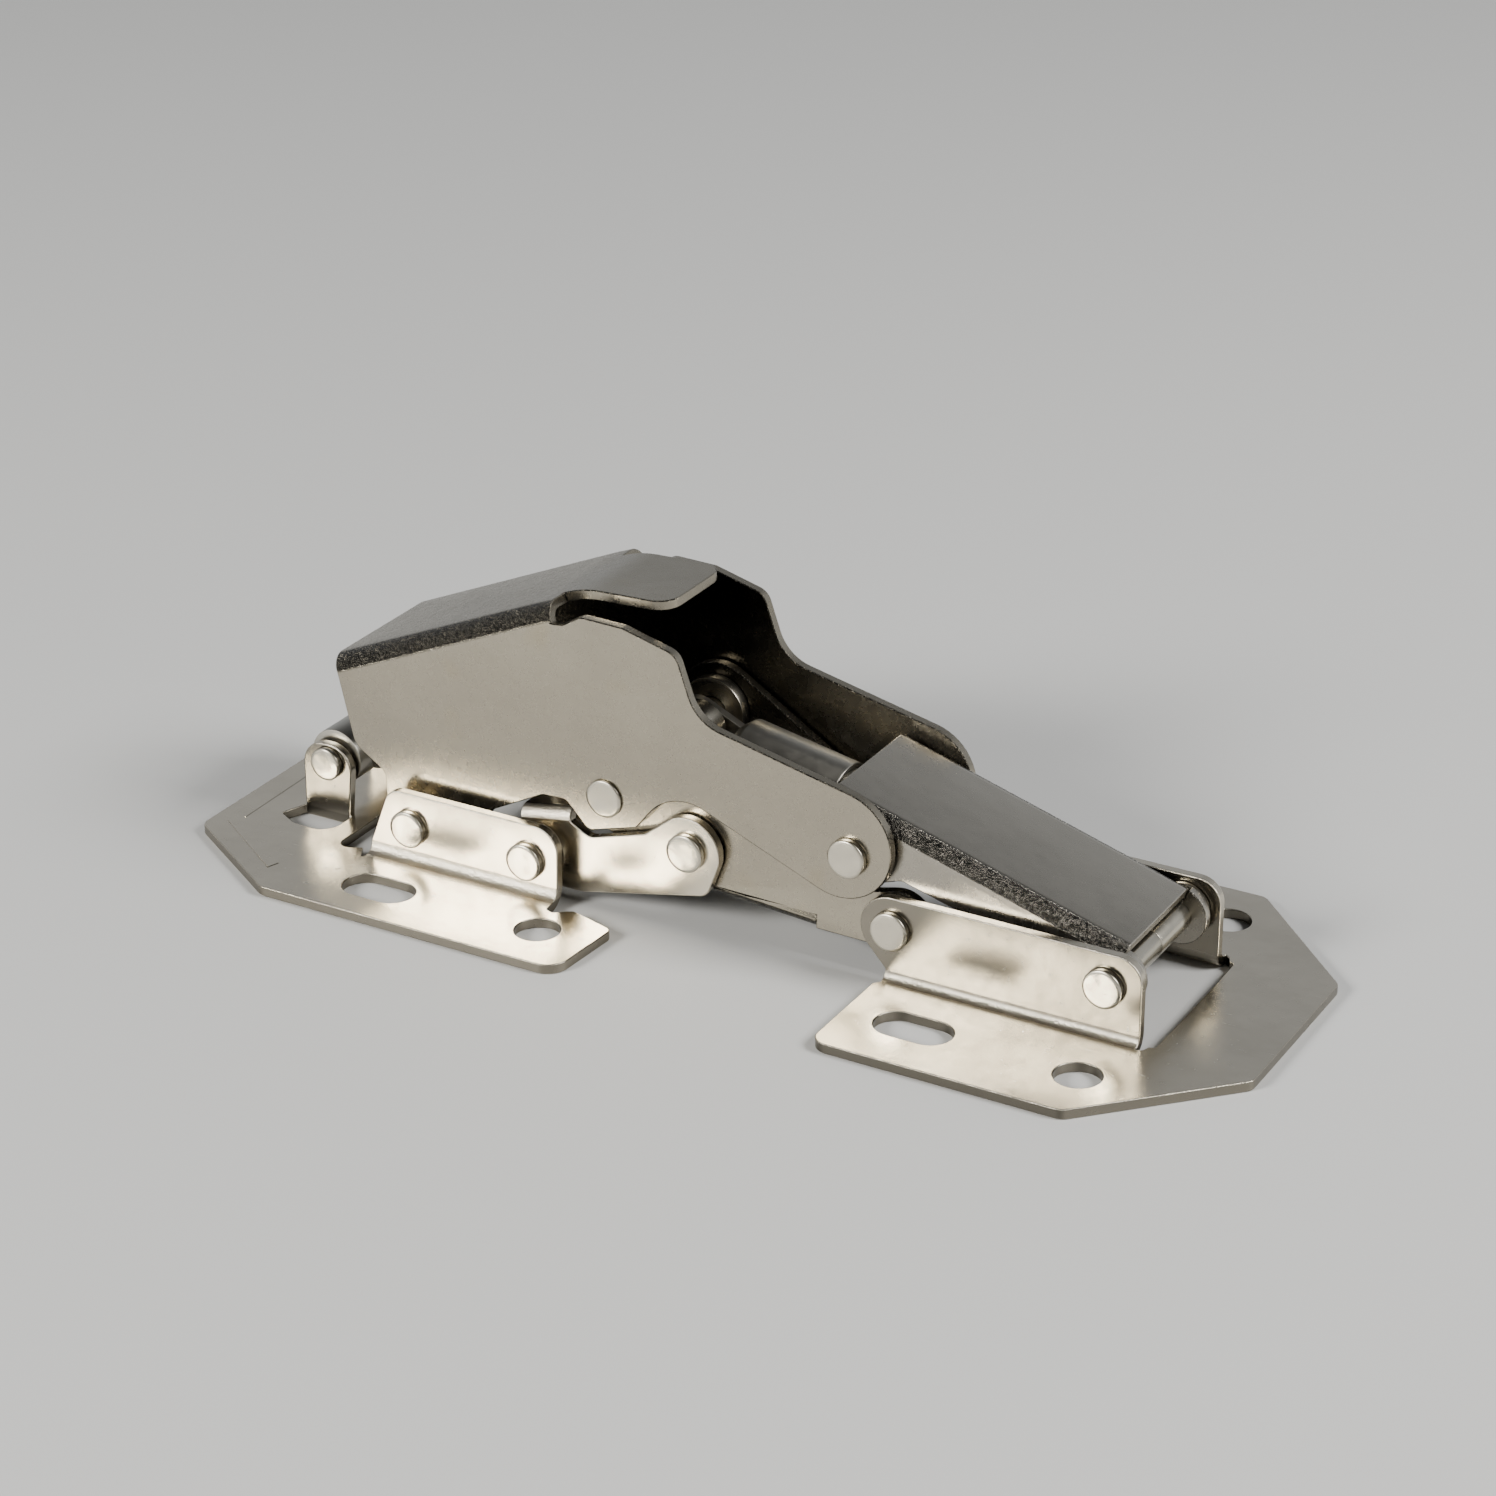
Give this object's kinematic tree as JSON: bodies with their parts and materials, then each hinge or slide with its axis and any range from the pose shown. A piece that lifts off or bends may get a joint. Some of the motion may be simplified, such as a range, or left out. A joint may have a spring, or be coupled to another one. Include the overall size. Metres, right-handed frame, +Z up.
{
  "type": "concealed cabinet hinge",
  "caption": "Folding concealed hinge: two notched screw-on plates joined by a riveted multi-link arm with a damper and a spring cartridge.",
  "frame": {"origin": "middle of the footprint of the open hinge, on the underside of both plates", "axes": "+X from the left plate to the right plate, +Y across the width, +Z up, away from the faces the plates are screwed to"},
  "size_m": [0.1098, 0.045, 0.0312],
  "materials": {
    "nickel": "satin nickel plate",
    "bright": "bright nickel-plated steel",
    "tube": "satin steel tube",
    "spring": "drawn spring wire"
  },
  "bodies": {
    "left_plate": {"left_plate": "nickel", "damper_pin": "bright", "arm_pin": "bright", "link_pin": "bright", "arm_washer_near": "bright", "arm_washer_far": "bright", "link_washer_near": "bright", "link_washer_far": "bright"},
    "cover_arm": {"cover_arm": "nickel", "cross_rivet_near": "bright", "cross_rivet_far": "bright", "top_rivet_near": "bright", "top_rivet_far": "bright"},
    "inner_arm": {"inner_arm": "nickel", "centre_pin": "bright", "centre_spacer_near": "bright", "centre_spacer_far": "bright"},
    "short_link": {"short_link": "nickel", "elbow_rivet_near": "bright", "elbow_rivet_far": "bright"},
    "top_link": {"top_link": "nickel", "end_pin": "bright", "spring_pin": "bright", "end_washer_near": "bright", "end_washer_far": "bright"},
    "right_plate": {"right_plate": "nickel", "plate_rivet_near": "bright", "plate_rivet_far": "bright"},
    "damper_tube": {"damper_tube": "tube", "damper_gland": "bright"},
    "damper_rod": {"damper_rod": "bright", "damper_piston": "bright"},
    "spring_sleeve": {"spring_outer_sleeve": "tube", "cartridge_spring": "spring"},
    "spring_plunger": {"spring_inner_sleeve": "tube"}
  },
  "joints": [
    {"name": "arm_fold", "type": "hinge", "parent": "left_plate", "child": "cover_arm", "pos_m": [-0.0323, 0, 0.0045], "axis": [0, -1, 0], "range_deg": [0, 60]},
    {"name": "inner_arm_turn", "type": "hinge", "parent": "cover_arm", "child": "inner_arm", "pos_m": [-0.0115, 0, 0.0117], "axis": [0, -1, 0], "range_deg": [-66.4, 0]},
    {"name": "short_link_turn", "type": "hinge", "parent": "left_plate", "child": "short_link", "pos_m": [-0.019, 0, 0.0043], "axis": [0, -1, 0], "range_deg": [0, 79.98]},
    {"name": "top_link_turn", "type": "hinge", "parent": "cover_arm", "child": "top_link", "pos_m": [0.0144, 0, 0.012], "axis": [0, -1, 0], "range_deg": [-71.63, 0]},
    {"name": "right_plate_turn", "type": "hinge", "parent": "top_link", "child": "right_plate", "pos_m": [0.04025, 0, 0.0059], "axis": [0, -1, 0], "range_deg": [0, 82.55]},
    {"name": "damper_swing", "type": "hinge", "parent": "left_plate", "child": "damper_tube", "pos_m": [-0.0453, 0, 0.0064], "axis": [0, -1, 0], "range_deg": [0, 34.3]},
    {"name": "damper_stroke", "type": "slide", "parent": "damper_tube", "child": "damper_rod", "axis": [0.9688, 0, 0.248], "range_m": [-0.00614, 0]},
    {"name": "cartridge_swing", "type": "hinge", "parent": "inner_arm", "child": "spring_sleeve", "pos_m": [-0.0078, 0, 0.016], "axis": [0, -1, 0], "range_deg": [0, 59.93]},
    {"name": "cartridge_stroke", "type": "slide", "parent": "spring_sleeve", "child": "spring_plunger", "axis": [0.9816, 0, -0.191], "range_m": [-0.00815, 0], "deforming": ["cartridge_spring"]}
  ],
  "couplings": [
    {"joint": "inner_arm_turn", "follows": "arm_fold", "ratio": -1.0849},
    {"joint": "short_link_turn", "follows": "arm_fold", "ratio": 1.3068},
    {"joint": "top_link_turn", "follows": "arm_fold", "ratio": -1.1705},
    {"joint": "right_plate_turn", "follows": "arm_fold", "ratio": 1.3489},
    {"joint": "damper_swing", "follows": "arm_fold", "ratio": 0.56051},
    {"joint": "cartridge_swing", "follows": "arm_fold", "ratio": 0.97928},
    {"joint": "damper_stroke", "follows": "arm_fold", "m_per_rad": -0.00575},
    {"joint": "cartridge_stroke", "follows": "arm_fold", "m_per_rad": -0.0076294}
  ]
}
